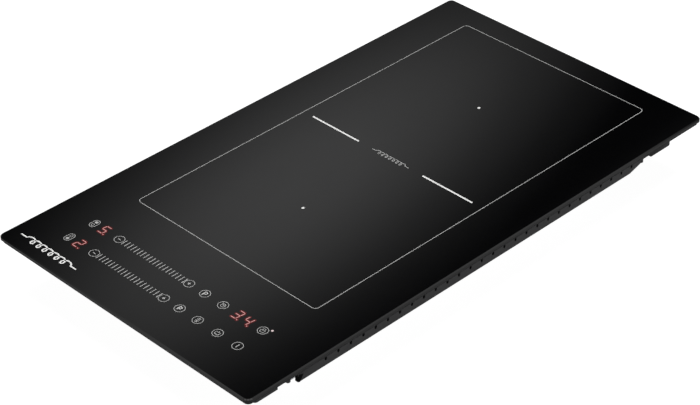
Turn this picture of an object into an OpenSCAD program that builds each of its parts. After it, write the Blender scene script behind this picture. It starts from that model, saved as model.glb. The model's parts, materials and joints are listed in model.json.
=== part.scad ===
// Electric induction cooktop, two zones, drop-in, 290 x 522 mm.
// Origin: middle of the footprint at the lowest point, +X right, +Y back, +Z up.

/* [Glass] */
// Width of the glass plate
glass_w = 290; // [284:1:300]
// Depth of the glass plate, front to back
glass_l = 522; // [516:1:540]
// Thickness of the glass plate
glass_t = 4; // [3:0.5:6]
// Corner radius of the glass plate
glass_r = 5; // [3:1:12]
// Chamfer ground along the glass plate's top and bottom edges
glass_bevel = 0.9; // [0.3:0.1:1.2]

/* [Body] */
// Overall height, from the feet under the belly to the top of the glass
total_h = 56; // [54:1:62]
// Width of the upper tray
tray_w = 265; // [262:1:267]
// Front end of the upper tray
tray_front = -243.5; // [-246:0.5:-242]
// Rear end of the upper tray
tray_rear = 237; // [234:0.5:240]
// Front wall of the upper tray's deep part
deep_front = -200; // [-202:1:-198]
// Rear end of the deep part's flat floor
deep_rear = 182.6; // [180:0.2:184]
// Height of the floor under the deep part
deep_z = 30.6; // [30:0.2:31]
// Height of the floor under the shallow front end
front_z = 36; // [35:0.5:36.5]
// Height of the floor under the shallow rear end
rear_z = 34.4; // [34:0.2:36]
// Sheet metal thickness
sheet = 1; // [0.8:0.1:1.2]
// Width of the lower tray
belly_w = 208; // [200:2:208]
// Front wall of the lower tray
belly_front = -190; // [-192:1:-188]
// Rear wall of the lower tray
belly_rear = 170; // [168:1:172]
// Height of the feet that the cooktop stands on
foot_h = 1.5; // [1:0.5:2]

/* [Side vents] */
// Number of vent slots in each side wall
vent_count = 28; // [10:1:28]
// Distance between vent slots
vent_pitch = 13.18; // [12:0.01:13.5]
// Width of one vent slot
vent_w = 2.5; // [1.5:0.1:4]
// Lowest point of the vent slots
vent_z = 35.3; // [33:0.1:37]
// Height of the vent slots
vent_h = 3.8; // [3:0.2:8]

/* [Coils] */
// Centre of the front cooking zone
front_zone_y = -67.2; // [-70:0.1:-66]
// Centre of the rear cooking zone
rear_zone_y = 140.5; // [139:0.1:141]
// Outer radius of a coil winding
coil_r = 86; // [80:1:86]
// Turns in a coil winding
coil_turns = 15; // [10:1:16]
// Distance between turns
turn_pitch = 3.6; // [3.2:0.1:3.6]
// Ferrite bars under each coil
ferrite_count = 8; // [6:1:10]

/* [Blower] */
// Blower axis, distance from the middle
blower_x = -48; // [-52:1:-46]
// Blower axis, distance from the middle
blower_y = -128; // [-130:1:-126]
// Outer radius of the blower wheel
wheel_r = 34; // [30:1:35]
// Blades on the blower wheel
blade_count = 26; // [16:1:30]

/* [Fixings] */
// Bracket pivots, distance from the middle
bracket_x = 96; // [92:1:98]
// Front bracket pivots
bracket_front_y = -232; // [-233:1:-230]
// Rear bracket pivots
bracket_rear_y = 224; // [222:1:226]
// Length of a bracket from its pivot to its tip
bracket_reach = 34; // [28:1:36]

/* [Mains inlet] */
// Radius of the mains cord's hole
cord_r = 5.2; // [4:0.1:6]
// Left edge of the terminal box
box_x = 20; // [16:1:24]
// Width of the terminal box
box_w = 70; // [66:1:74]

/* [Hidden] */
$fn = 48;

eps = 0.5;
glass_z = total_h - glass_t;

// Upper tray
tray_top = glass_z - 1;
tray_r = 3;
flange_in = 10;
rear_flange = 3.5;
slope_rear = 196.2;
rail_w = 4;
rail_l = 5.5;
rail_r = 1.2;
pocket_x = 112;
pockets = [[-220.6, deep_front, front_z + 3], [slope_rear, 210.2, rear_z + 2.8]];
vent_first = -171.6;
belly_gap = 2;
tray_screw_at = [for (x = [-110, 110], y = [-150, -50, 50, 140]) [x, y]];

// Seal and adhesive under the glass
seal_t = 2;
seal_w = 7;
seal_edge = 1.8;

// Lower tray
belly_r = 8;
belly_chamfer = 4;
belly_lip = 12;
belly_top = deep_z - sheet;
belly_floor = foot_h + sheet;
belly_l = belly_rear - belly_front;
belly_y = (belly_rear + belly_front) / 2;
foot_r = 6;
foot_stem_r = 2;
foot_at = [for (x = [-84, 84], y = [belly_front + 22, belly_rear - 22]) [x, y]];
bottom_vent_at = [for (i = [0 : 11], y = [90, 118]) [-88 + i * 16, y]];

// Screws, nominal M4 and M3
m4_r = 2;
m4_head_r = 3.9;
m4_head_h = 2.4;
m3_r = 1.5;
m3_head_r = 2.8;
m3_head_h = 2;
thread_gap = 0.05;

// Power board
board_z = 8;
board_t = 1.6;
board_top = board_z + board_t;
board_edge = 98;
board_front = -187;
board_step = -66;
board_rear = 165;
board_side = 12;
standoff_at = [[92, -182], [8, -174], [92, -60], [-92, -60], [92, 160], [-92, 160]];
// Low corner x and y, width, depth and height of each film capacitor
film_blocks = [[14, -70, 42, 26, 22], [14, -38, 42, 26, 22], [14, 40, 32, 18, 20], [14, 64, 32, 18, 20]];
storage_at = [[24, 100], [40, 100], [24, 116]];

// Heat sink over the power transistors
sink_x = [-86, -8];
sink_y = [-68, 96];
package_h = 5;
sink_base_z = board_top + package_h;
sink_base_t = 4;
fin_h = 16;
fin_t = 2;
fin_count = 12;
transistor_y = [-50, -22, 34, 62];

// Blower
house_z = 3.2;
house_h = 21.8;
house_r = 41;
house_wall = 1.5;
outlet_w = 56;
outlet_y = -72;
inlet_r = 28;
shaft_r = 1.5;
running_gap = 0.05;

// Coils, stacked from the shield plate up to the glass
shield_z = 38.5;
shield_t = 1.5;
coil_drop = 0.1;
mica_t = 0.6;
winding_h = 4;
former_t = 1.4;
ferrite_h = 4;
mica_z = glass_z - coil_drop - mica_t;
winding_z = mica_z - winding_h;
former_z = winding_z - former_t;
ferrite_z = former_z - ferrite_h;
former_r = coil_r + 3;
hub_r = coil_r - coil_turns * turn_pitch - 1.5;
lightening_at = 52;
spring_at = 82;
spring_r = 3.2;
spring_wire = 0.5;
spring_turns = 3;
lead_r = 1.8;
lead_x = [72, 82];
lead_end = 4;
socket_r = 3.2;
socket_h = 12;
socket_gap = 0.3;

// Touch control behind the front edge
row_rear_y = -197.6;
row_front_y = -223.1;
holder_z = 44;
control_z = 47;
control_t = 1.6;
control_top = control_z + control_t;
rear_key_x = [-102.3, -71.8, -52, -30, -8, 10.6, 28.7, 49, 93.1];
front_key_x = [-102.3, -71.8, -52, -30, -8, 10.6, 28.7, 49, 71.15, 93];
digit_x = -90.1;
timer_x = 71.1;
display_h = 3;
ribbon_x = [14, 36];
ribbon_y = -183;

// Terminal box behind the belly
box_y = [belly_rear + 0.2, 222];
box_z = [6, 29.2];
box_t = 1.5;
cover_t = 1.5;
inlet_x = 74;
inlet_z = 17;
bush_l = 16;
hinge_r = 1.2;
hinge_y = box_y[0] + 4.5;
hinge_z = box_z[0] - 0.2;
wire_x = [30, 38, 46];
wire_z = 20;
wire_r = 1.4;

// Swivelling brackets
bracket_t = 1.5;
bracket_w = 12;
bracket_lip = 2.5;
bracket_drop = bracket_t + 0.2;
bracket_ends = [[bracket_front_y, front_z], [bracket_rear_y, rear_z]];
bracket_at = [for (end = bracket_ends, s = [-1, 1]) [s * bracket_x, end[0], end[1]]];

// ---- shared shapes ----

// Rectangle with round corners, between two corner points
module round_rect(x0, y0, x1, y1, r) {
  translate([x0 + r, y0]) square([x1 - x0 - 2 * r, y1 - y0]);
  translate([x0, y0 + r]) square([x1 - x0, y1 - y0 - 2 * r]);
  for (x = [x0 + r, x1 - r], y = [y0 + r, y1 - r]) translate([x, y]) circle(r);
}

// Slab with round corners whose outline shrinks by its own height: a 45 degree chamfer
module chamfer_slab(w, l, r, h) {
  for (x = [-1, 1], y = [-1, 1]) {
    translate([x * (w / 2 - r), y * (l / 2 - r), 0]) cylinder(r1 = r, r2 = r - h, h = h);
  }
  rotate([90, 0, 0]) {
    linear_extrude(height = l - 2 * r, center = true)
      polygon([[-w / 2, 0], [w / 2, 0], [w / 2 - h, h], [h - w / 2, h]]);
  }
  rotate([90, 0, 90]) {
    linear_extrude(height = w - 2 * r, center = true)
      polygon([[-l / 2, 0], [l / 2, 0], [l / 2 - h, h], [h - l / 2, h]]);
  }
}

// Pan head screw standing on its head's top face, shank pointing up
module screw(r, head_r, head_h, length) {
  difference() {
    cylinder(r = head_r, h = head_h);
    for (a = [0, 90]) rotate(a) translate([-head_r * 0.6, -0.4, -eps]) cube([head_r * 1.2, 0.8, eps + 0.9]);
  }
  translate([0, 0, head_h - 0.1]) cylinder(r = r - thread_gap, h = length + 0.1);
}

// Round wire along straight runs, with a ball at each corner
module wire(points, r) {
  for (i = [0 : len(points) - 2]) {
    run = points[i + 1] - points[i];
    along = norm(run);
    translate(points[i]) rotate([0, acos(run[2] / along), atan2(run[1], run[0])]) cylinder(r = r, h = along);
  }
  for (i = [1 : 1 : len(points) - 2]) translate(points[i]) sphere(r);
}

// Closed helical compression spring standing on z = 0, as one swept mesh
module helix_spring(r, wire_r, turns, h) {
  sides = 6;
  steps = 10 * turns;
  rise = h - 2 * wire_r;
  rings = [
    for (i = [0 : steps], s = [0 : sides - 1])
      let (a = 360 * turns * i / steps, b = 360 * s / sides, q = r + wire_r * cos(b))
        [q * cos(a), q * sin(a), wire_r + rise * i / steps + wire_r * sin(b)]
  ];
  walls = [
    for (i = [0 : steps - 1], s = [0 : sides - 1])
      let (t = (s + 1) % sides, a = i * sides, b = a + sides)
        [a + s, b + s, b + t, a + t]
  ];
  start = [for (s = [0 : sides - 1]) s];
  finish = [for (s = [sides - 1 : -1 : 0]) steps * sides + s];
  polyhedron(points = rings, faces = concat([start], walls, [finish]));
}

// ---- glass and its seal ----

module glass_plate() {
  color([0.02, 0.02, 0.025])
  translate([0, 0, glass_z]) {
    translate([0, 0, glass_bevel]) linear_extrude(height = glass_t - 2 * glass_bevel)
      round_rect(-glass_w / 2, -glass_l / 2, glass_w / 2, glass_l / 2, glass_r);
    translate([0, 0, glass_t - glass_bevel]) chamfer_slab(glass_w, glass_l, glass_r, glass_bevel);
    translate([0, 0, glass_bevel]) mirror([0, 0, 1]) chamfer_slab(glass_w, glass_l, glass_r, glass_bevel);
  }
}

module ring_band(x0, y0, x1, y1, r, width) {
  difference() {
    round_rect(x0, y0, x1, y1, r);
    round_rect(x0 + width, y0 + width, x1 - width, y1 - width, max(r - width, 1));
  }
}

module worktop_seal() {
  x = glass_w / 2 - seal_edge;
  y = glass_l / 2 - seal_edge;
  color([0.1, 0.1, 0.1])
  translate([0, 0, glass_z - seal_t]) linear_extrude(height = seal_t) ring_band(-x, -y, x, y, 4, seal_w);
}

module glass_adhesive() {
  inset = 1;
  x = tray_w / 2 - inset;
  hole_x = x + 2 * inset - flange_in;
  hole_front = tray_front + flange_in - inset;
  hole_rear = tray_rear - rear_flange + 0.5;
  color([0.15, 0.15, 0.15])
  translate([0, 0, tray_top]) linear_extrude(height = glass_z - tray_top) difference() {
    round_rect(-x, tray_front + inset, x, tray_rear - inset, tray_r - inset);
    round_rect(-hole_x, hole_front, hole_x, hole_rear, 2);
  }
}

// ---- housing ----

// The upper tray's outer form, pulled in by one sheet for its hollow
module tray_form(inset, top) {
  x = tray_w / 2 - inset;
  r = tray_r - inset;
  low = deep_z + inset;
  front_wall = deep_front + rail_l + inset;
  rail_x = (tray_w - rail_w) / 2;
  rail_half = rail_w / 2 - inset;
  translate([0, 0, low]) linear_extrude(height = top - low) {
    translate([-x, front_wall]) square([2 * x, deep_rear - front_wall]);
    for (s = [-1, 1]) translate([s * rail_x, 0])
      round_rect(-rail_half, deep_front + inset, rail_half, front_wall + rail_w, rail_r - inset / 2);
  }
  translate([0, 0, front_z + inset]) linear_extrude(height = top - front_z - inset)
    round_rect(-x, tray_front + inset, x, 0, r);
  translate([0, 0, rear_z + inset]) linear_extrude(height = top - rear_z - inset)
    round_rect(-x, 0, x, tray_rear - inset, r);
  rotate([90, 0, 90]) linear_extrude(height = 2 * x, center = true)
    polygon([[0, low], [deep_rear, low], [slope_rear, rear_z + inset], [0, rear_z + inset]]);
}

// Corner recesses at the tray's four bottom corners, grown by one sheet for the hollow
module corner_pockets(grow) {
  for (s = [-1, 1], p = pockets) {
    depth = tray_w / 2 - pocket_x + grow + 1;
    x = s > 0 ? pocket_x - grow : -pocket_x + grow - depth;
    translate([x, p[0] - grow, deep_z - 1]) cube([depth, p[1] - p[0] + 2 * grow, p[2] - deep_z + 1 + grow]);
  }
}

module side_vents() {
  for (i = [0 : vent_count - 1]) {
    translate([0, vent_first + i * vent_pitch, vent_z]) rotate([90, 0, 90])
      linear_extrude(height = tray_w + 2, center = true) {
        translate([-vent_w / 2, vent_w / 2]) square([vent_w, vent_h - vent_w]);
        for (z = [vent_w / 2, vent_h - vent_w / 2]) translate([0, z]) circle(vent_w / 2);
      }
  }
}

module upper_tray() {
  x = tray_w / 2 - flange_in;
  hole_x = belly_w / 2 - belly_gap;
  color([0.16, 0.16, 0.17])
  difference() {
    tray_form(0, tray_top);
    difference() {
      tray_form(sheet, tray_top - sheet);
      corner_pockets(sheet);
    }
    translate([0, 0, tray_top - sheet - eps]) linear_extrude(height = sheet + 2 * eps)
      round_rect(-x, tray_front + flange_in, x, tray_rear - rear_flange, 2);
    corner_pockets(0);
    translate([0, 0, deep_z - eps]) linear_extrude(height = sheet + 2 * eps)
      round_rect(-hole_x, belly_front + belly_gap, hole_x, belly_rear - belly_gap, 6);
    side_vents();
    for (p = tray_screw_at) translate([p[0], p[1], deep_z - eps]) cylinder(r = m4_r, h = sheet + 2 * eps);
    for (p = bracket_at) translate([p[0], p[1], p[2] - eps]) cylinder(r = m4_r, h = sheet + 2 * eps);
  }
}

// Pins that hang in the corner recesses and centre the cooktop in its cut-out
module cutout_guide_pins() {
  pin_r = 2;
  tip = 0.6;
  front_pin = [-208.4, 34.6, pockets[0][2]];
  rear_pin = [199.4, 33.2, pockets[1][2]];
  color([0.16, 0.16, 0.17])
  for (s = [-1, 1], p = [front_pin, rear_pin]) {
    translate([s * (tray_w / 2 - pin_r - 0.2), p[0], p[1]]) {
      cylinder(r1 = pin_r - tip, r2 = pin_r, h = tip);
      translate([0, 0, tip]) cylinder(r = pin_r, h = p[2] - p[1] - tip);
    }
  }
}

// The lower tray's outer form, pulled in by one sheet for its open-topped hollow
module belly_form(inset, floor_z) {
  w = belly_w - 2 * inset;
  l = belly_l - 2 * inset;
  r = belly_r - inset;
  c = belly_chamfer - inset / 2;
  wall_h = belly_top + sheet - floor_z - c + (inset > 0 ? eps : 0);
  translate([0, belly_y, floor_z + c]) mirror([0, 0, 1]) chamfer_slab(w, l, r, c);
  translate([0, belly_y, floor_z + c]) linear_extrude(height = wall_h)
    round_rect(-w / 2, -l / 2, w / 2, l / 2, r);
}

module lower_tray() {
  lip_w = belly_w / 2 + belly_lip;
  color([0.55, 0.56, 0.58])
  difference() {
    union() {
      belly_form(0, foot_h);
      translate([0, 0, belly_top]) linear_extrude(height = sheet)
        round_rect(-lip_w, belly_front - 4, lip_w, belly_rear + 6, 6);
    }
    belly_form(sheet, belly_floor);
    for (p = foot_at) translate([p[0], p[1], 0]) cylinder(r = foot_stem_r, h = 2 * belly_floor);
    translate([blower_x, blower_y, 0]) cylinder(r = inlet_r + 6, h = 2 * belly_floor);
    for (p = bottom_vent_at) translate([p[0], p[1], 0]) linear_extrude(height = 2 * belly_floor)
      round_rect(-1.75, -10, 1.75, 10, 1.7);
    for (p = tray_screw_at) translate([p[0], p[1], belly_top - eps]) cylinder(r = m4_r, h = sheet + 2 * eps);
    for (x = wire_x) translate([x, belly_rear - 2, wire_z]) rotate([-90, 0, 0]) cylinder(r = 2.2, h = 4);
    translate([-60, belly_rear - 2, wire_z]) rotate([-90, 0, 0]) cylinder(r = m4_r, h = 4);
  }
}

// The same M4 screw holds the two trays together and carries the four brackets
module case_screws() {
  color([0.75, 0.76, 0.78]) {
    for (p = tray_screw_at) translate([p[0], p[1], belly_top - m4_head_h])
      screw(m4_r, m4_head_r, m4_head_h, 4);
    for (p = bracket_at) translate([p[0], p[1], p[2] - bracket_drop - 0.1 - m4_head_h])
      screw(m4_r, m4_head_r, m4_head_h, 3.8);
  }
}

// Push-in feet under the lower tray's floor
module base_feet() {
  color([0.07, 0.07, 0.07])
  for (p = foot_at) translate([p[0], p[1], 0]) {
    cylinder(r1 = foot_r - 0.6, r2 = foot_r, h = foot_h);
    translate([0, 0, foot_h - 0.1]) cylinder(r = foot_stem_r - thread_gap, h = sheet + 0.2);
    translate([0, 0, belly_floor]) cylinder(r1 = foot_stem_r + 1, r2 = foot_stem_r, h = 1);
  }
}

// ---- blower ----

module fan_grille() {
  ring_t = 1.6;
  ring_h = 1.5;
  rim_t = 0.7;
  z = foot_h - rim_t;
  color([0.07, 0.07, 0.07])
  translate([blower_x, blower_y, z]) {
    for (r = [7, 14, 21, 28]) difference() {
      cylinder(r = r + ring_t / 2, h = ring_h);
      translate([0, 0, -eps]) cylinder(r = r - ring_t / 2, h = ring_h + 2 * eps);
    }
    for (a = [0 : 60 : 120]) rotate(a) translate([-inlet_r - 5, -ring_t / 2, 0.2])
      cube([2 * inlet_r + 10, ring_t, ring_h - 0.2]);
    difference() {
      union() {
        cylinder(r = inlet_r + 8, h = rim_t);
        cylinder(r = inlet_r + 5.9, h = 2.2);
      }
      translate([0, 0, -eps]) cylinder(r = inlet_r + 4, h = 4);
    }
  }
}

// The blower's outline: a drum with a straight outlet
module scroll(inset) {
  translate([blower_x, blower_y]) circle(house_r - inset);
  translate([blower_x - house_r + inset, blower_y]) square([outlet_w - 2 * inset, outlet_y - blower_y]);
}

module blower_housing() {
  color([0.1, 0.1, 0.11])
  difference() {
    translate([0, 0, house_z]) linear_extrude(height = house_h) scroll(0);
    translate([0, 0, house_z + house_wall]) linear_extrude(height = house_h) scroll(house_wall);
    translate([blower_x - house_r + house_wall, outlet_y - 3, house_z + house_wall])
      cube([outlet_w - 2 * house_wall, 6, house_h]);
    translate([blower_x, blower_y, house_z - eps]) cylinder(r = inlet_r, h = house_wall + 2 * eps);
  }
}

module blower_lid() {
  color([0.1, 0.1, 0.11])
  difference() {
    translate([0, 0, house_z + house_h]) linear_extrude(height = house_wall) scroll(0);
    for (a = [45 : 90 : 315]) translate([blower_x, blower_y, 0]) rotate(a) translate([9, 0, 0])
      cylinder(r = 1.3, h = 60);
  }
}

// Stator of the outer-rotor motor, hanging from the lid
module blower_motor() {
  top = house_z + house_h;
  coil_z = 11;
  coil_h = 8;
  flange_h = 2;
  color([0.65, 0.4, 0.2])
  difference() {
    translate([blower_x, blower_y, 0]) {
      translate([0, 0, coil_z]) cylinder(r = 12.3, h = coil_h);
      translate([0, 0, coil_z + coil_h]) cylinder(r = 6, h = top - flange_h - coil_z - coil_h);
      translate([0, 0, top - flange_h]) cylinder(r = 11, h = flange_h);
    }
    translate([blower_x, blower_y, coil_z - 1]) cylinder(r = shaft_r + running_gap, h = 12);
  }
}

module blower_wheel() {
  back_z = 20.5;
  hub_z = 8;
  hub_wall = 2;
  hub_outer_r = 16;
  ring_z = 6;
  blade_l = 8;
  blade_turn = 18;
  color([0.12, 0.12, 0.13])
  translate([blower_x, blower_y, 0]) {
    difference() {
      union() {
        translate([0, 0, back_z]) cylinder(r = wheel_r, h = 1.4);
        translate([0, 0, hub_z]) cylinder(r = hub_outer_r, h = back_z - hub_z + 1);
      }
      translate([0, 0, hub_z + 1.5]) cylinder(r = hub_outer_r - hub_wall, h = back_z);
    }
    translate([0, 0, hub_z + 1]) cylinder(r = shaft_r, h = 11);
    translate([0, 0, ring_z]) difference() {
      cylinder(r = wheel_r, h = 1.2);
      translate([0, 0, -eps]) cylinder(r = wheel_r - 2, h = 3);
    }
    for (i = [0 : blade_count - 1]) rotate(i * 360 / blade_count)
      translate([wheel_r - blade_l, -0.5, ring_z + 0.4]) rotate([0, 0, blade_turn])
        cube([blade_l * 0.9, 1, back_z - ring_z]);
  }
}

// ---- power electronics ----

module power_board() {
  ear = 20;
  color([0.05, 0.3, 0.12])
  difference() {
    translate([0, 0, board_z]) linear_extrude(height = board_t) {
      translate([-board_edge, board_step]) square([2 * board_edge, board_rear - board_step]);
      translate([board_side, board_front]) square([board_edge - board_side, board_step - board_front + 1]);
      translate([board_side - 8, board_front]) square([ear, ear]);
    }
    for (p = standoff_at) translate([p[0], p[1], 0]) cylinder(r = m3_r + 0.1, h = 2 * board_top);
  }
}

module board_standoffs() {
  color([0.8, 0.8, 0.8])
  for (p = standoff_at) translate([p[0], p[1], belly_floor]) difference() {
    cylinder(r = 3, h = board_z - belly_floor);
    translate([0, 0, 0.6]) cylinder(r = m3_r, h = 10);
  }
}

module board_screws() {
  color([0.8, 0.8, 0.82])
  for (p = standoff_at) translate([p[0], p[1], board_top + m3_head_h]) mirror([0, 0, 1])
    screw(m3_r, m3_head_r, m3_head_h, 5);
}

module heat_sink() {
  w = sink_x[1] - sink_x[0];
  l = sink_y[1] - sink_y[0];
  foot = 6;
  foot_in = 2;
  color([0.75, 0.76, 0.78])
  translate([sink_x[0], sink_y[0], sink_base_z]) {
    cube([w, l, sink_base_t]);
    for (i = [0 : fin_count - 1]) translate([i * (w - fin_t) / (fin_count - 1), 0, sink_base_t - 0.2])
      cube([fin_t, l, fin_h]);
    for (x = [foot_in, w - foot - foot_in], y = [foot_in, l - foot - foot_in])
      translate([x, y, -package_h]) cube([foot, foot, package_h + 0.2]);
  }
}

module power_transistors() {
  body = [20, 16, package_h];
  pin = [5, 1.2, 0.6];
  pin_pitch = 5.4;
  pin_z = 1.5;
  color([0.08, 0.08, 0.08])
  for (y = transistor_y) translate([-42, y, board_top]) {
    cube(body);
    for (i = [-1 : 1]) translate([body[0], body[1] / 2 + i * pin_pitch - pin[1] / 2, pin_z]) {
      cube(pin);
      translate([pin[0] - pin[2], 0, -pin_z]) cube([pin[2], pin[1], pin_z + 0.2]);
    }
  }
}

module bridge_rectifier() {
  body = [22, 20, package_h];
  pin = [4.8, 1, 0.8];
  pin_pitch = 5;
  pin_z = 1.5;
  color([0.09, 0.09, 0.09])
  translate([-70, 4, board_top]) {
    cube(body);
    for (i = [0 : 3]) translate([0.2 - pin[0], 2 + i * pin_pitch, pin_z]) {
      cube(pin);
      translate([0, 0, -pin_z]) cube([pin[2], pin[1], pin_z + 0.2]);
    }
  }
}

module air_duct() {
  wall = 1.2;
  gap = 1;
  x0 = sink_x[0] - gap - wall;
  w = sink_x[1] + gap + wall - x0;
  l = sink_y[1] - outlet_y;
  low = board_top + 1;
  top = sink_base_z + sink_base_t + fin_h + wall;
  color([0.12, 0.12, 0.12])
  difference() {
    translate([x0, outlet_y + 0.5, low]) cube([w, l, top - low]);
    translate([x0 + wall, outlet_y - 1, low - 1]) cube([w - 2 * wall, l + 4, top - wall - low + 1]);
  }
}

module film_capacitors() {
  rim = 1.5;
  color([0.75, 0.68, 0.3])
  for (b = film_blocks) translate([b[0], b[1], board_top]) difference() {
    cube([b[2], b[3], b[4]]);
    translate([rim, rim, b[4] - 0.6]) cube([b[2] - 2 * rim, b[3] - 2 * rim, 1]);
  }
}

module storage_capacitors() {
  can_r = 6.3;
  can_h = 18;
  crimp = 0.6;
  color([0.1, 0.12, 0.3])
  for (p = storage_at) translate([p[0], p[1], board_top]) {
    cylinder(r = can_r, h = can_h);
    translate([0, 0, can_h]) cylinder(r1 = can_r, r2 = can_r - crimp, h = crimp);
  }
}

module mains_choke() {
  base_r = 14;
  core_r = 9.5;
  wire_bundle_r = 4.6;
  post_r = 6;
  color([0.7, 0.4, 0.15])
  translate([70, 120, board_top]) {
    cylinder(r = base_r, h = 1.5);
    translate([0, 0, 7.5]) rotate_extrude() translate([core_r, 0]) circle(r = wire_bundle_r);
    translate([0, 0, 1]) difference() {
      cylinder(r = post_r, h = 5);
      cylinder(r = post_r - 2, h = 8);
    }
  }
}

module power_relay() {
  body = [28, 12.6, 15];
  lid_in = 0.8;
  color([0.1, 0.1, 0.12])
  translate([64, 78, board_top]) {
    cube(body);
    translate([lid_in, lid_in, body[2]]) cube([body[0] - 2 * lid_in, body[1] - 2 * lid_in, 0.6]);
  }
}

module mains_fuse() {
  cap_r = 2.6;
  cap_l = 5;
  tube_r = 2.3;
  tube_l = 11;
  fuse_x = 58;
  fuse_y = 152;
  clip = [3, 4, 5];
  clip_in = 1;
  clip_out = fuse_x + 2 * cap_l + tube_l - clip[0];
  color([0.8, 0.8, 0.75])
  translate([fuse_x, fuse_y, board_top + 4]) rotate([0, 90, 0]) {
    cylinder(r = cap_r, h = cap_l);
    translate([0, 0, cap_l - 0.1]) cylinder(r = tube_r, h = tube_l);
    translate([0, 0, cap_l + tube_l - 0.2]) cylinder(r = cap_r, h = cap_l);
  }
  color([0.8, 0.8, 0.82])
  for (x = [fuse_x + clip_in, clip_out]) translate([x, fuse_y - clip[1] / 2, board_top]) difference() {
    cube(clip);
    translate([-1, clip[1] / 2, 4]) rotate([0, 90, 0]) cylinder(r = cap_r, h = 5);
  }
}

module buzzer() {
  color([0.06, 0.06, 0.06])
  translate([78, -160, board_top]) difference() {
    cylinder(r = 6, h = 9.5);
    translate([0, 0, 8]) cylinder(r = 1, h = 3);
  }
}

// ---- coils ----

// Copper litz spiral, drawn as one band with a groove between its turns
module winding(zone_y) {
  groove = 0.5;
  r0 = coil_r - coil_turns * turn_pitch;
  edge = [
    for (i = [0 : coil_turns - 1]) each [
      [r0 + i * turn_pitch, groove],
      [r0 + i * turn_pitch + groove, 0],
      [r0 + (i + 1) * turn_pitch - groove, 0]
    ]
  ];
  count = len(edge);
  low = edge;
  high = [for (i = [count - 1 : -1 : 0]) [edge[i][0], winding_h - edge[i][1]]];
  color([0.72, 0.4, 0.2])
  translate([0, zone_y, winding_z]) rotate_extrude()
    polygon(concat(low, [[coil_r, groove], [coil_r, winding_h - groove]], high));
}

module former(zone_y) {
  rim_h = former_t + winding_h;
  well_wall = 2;
  color([0.2, 0.2, 0.21])
  translate([0, zone_y, former_z]) difference() {
    union() {
      cylinder(r = former_r, h = former_t);
      cylinder(r = hub_r, h = rim_h);
      difference() {
        cylinder(r = former_r, h = rim_h);
        translate([0, 0, -eps]) cylinder(r = coil_r + 0.6, h = 2 * rim_h);
      }
    }
    translate([0, 0, former_t]) cylinder(r = hub_r - well_wall, h = 2 * rim_h);
    translate([0, 0, -eps]) cylinder(r = 4.5, h = 2 * rim_h);
    for (i = [0 : ferrite_count - 1]) rotate((i + 0.5) * 360 / ferrite_count)
      translate([lightening_at, 0, -eps]) cylinder(r = 8, h = former_t + 2 * eps);
    for (x = lead_x) translate([x, 0, -eps]) cylinder(r = lead_r + 0.6, h = former_t + 2 * eps);
  }
}

module ferrites(zone_y) {
  length = 50;
  width = 10;
  edge = 0.6;
  color([0.25, 0.25, 0.27])
  translate([0, zone_y, ferrite_z]) for (i = [0 : ferrite_count - 1]) rotate(i * 360 / ferrite_count + 22.5)
    translate([hub_r - 2, -width / 2, 0]) {
      translate([0, 0, edge]) cube([length, width, ferrite_h - edge]);
      translate([edge, edge, 0]) cube([length - 2 * edge, width - 2 * edge, edge + 0.1]);
    }
}

module mica(zone_y) {
  color([0.75, 0.7, 0.6])
  translate([0, zone_y, mica_z]) difference() {
    cylinder(r = former_r, h = mica_t);
    translate([0, 0, -eps]) cylinder(r = 12, h = mica_t + 2 * eps);
  }
}

module sensor(zone_y) {
  stem_h = former_t + 2.1;
  plate_h = 2.6;
  nose_z = stem_h + plate_h - 0.2;
  nose_top = glass_z - coil_drop - former_z + 2;
  color([0.9, 0.9, 0.88])
  translate([0, zone_y, former_z - 2]) {
    cylinder(r = 4.3, h = stem_h);
    translate([0, 0, stem_h - 0.1]) cylinder(r = 8, h = plate_h);
    translate([0, 0, nose_z]) cylinder(r = 5.5, h = nose_top - nose_z);
  }
}

module coil_springs(zone_y) {
  color([0.8, 0.8, 0.82])
  for (a = [45 : 90 : 315]) translate([0, zone_y, shield_z + shield_t]) rotate(a) translate([spring_at, 0, 0])
    helix_spring(spring_r, spring_wire, spring_turns, former_z - shield_z - shield_t);
}

// The leads drop straight from the winding's underside and end inside their sockets
module leads(zone_y) {
  low = board_top + lead_end;
  color([0.6, 0.25, 0.15])
  for (x = lead_x) translate([x, zone_y, low]) cylinder(r = lead_r, h = winding_z - low);
}

module lead_sockets() {
  color([0.75, 0.6, 0.3])
  for (x = lead_x, zone_y = [front_zone_y, rear_zone_y])
    translate([x, zone_y, board_top]) difference() {
      cylinder(r = socket_r, h = socket_h);
      translate([0, 0, 1.5]) cylinder(r = lead_r + socket_gap, h = socket_h);
    }
}

module front_coil_springs() coil_springs(front_zone_y);
module front_coil_former() former(front_zone_y);
module front_coil_winding() winding(front_zone_y);
module front_ferrite_bars() ferrites(front_zone_y);
module front_mica_disc() mica(front_zone_y);
module front_sensor() sensor(front_zone_y);
module front_coil_leads() leads(front_zone_y);
module rear_coil_springs() coil_springs(rear_zone_y);
module rear_coil_former() former(rear_zone_y);
module rear_coil_winding() winding(rear_zone_y);
module rear_ferrite_bars() ferrites(rear_zone_y);
module rear_mica_disc() mica(rear_zone_y);
module rear_sensor() sensor(rear_zone_y);
module rear_coil_leads() leads(rear_zone_y);

module shield_plate() {
  front = -172;
  wide = 126;
  narrow = 108;
  step = 190;
  rear = 230;
  color([0.8, 0.81, 0.83])
  difference() {
    translate([0, 0, shield_z]) linear_extrude(height = shield_t) {
      translate([-wide, front]) square([2 * wide, step - front]);
      translate([-narrow, front]) square([2 * narrow, rear - front]);
    }
    for (zone_y = [front_zone_y, rear_zone_y]) {
      for (x = lead_x) translate([x, zone_y, shield_z - eps])
        cylinder(r = lead_r + 1, h = shield_t + 2 * eps);
      translate([0, zone_y, shield_z - eps]) cylinder(r = 10, h = shield_t + 2 * eps);
    }
  }
}

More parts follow.
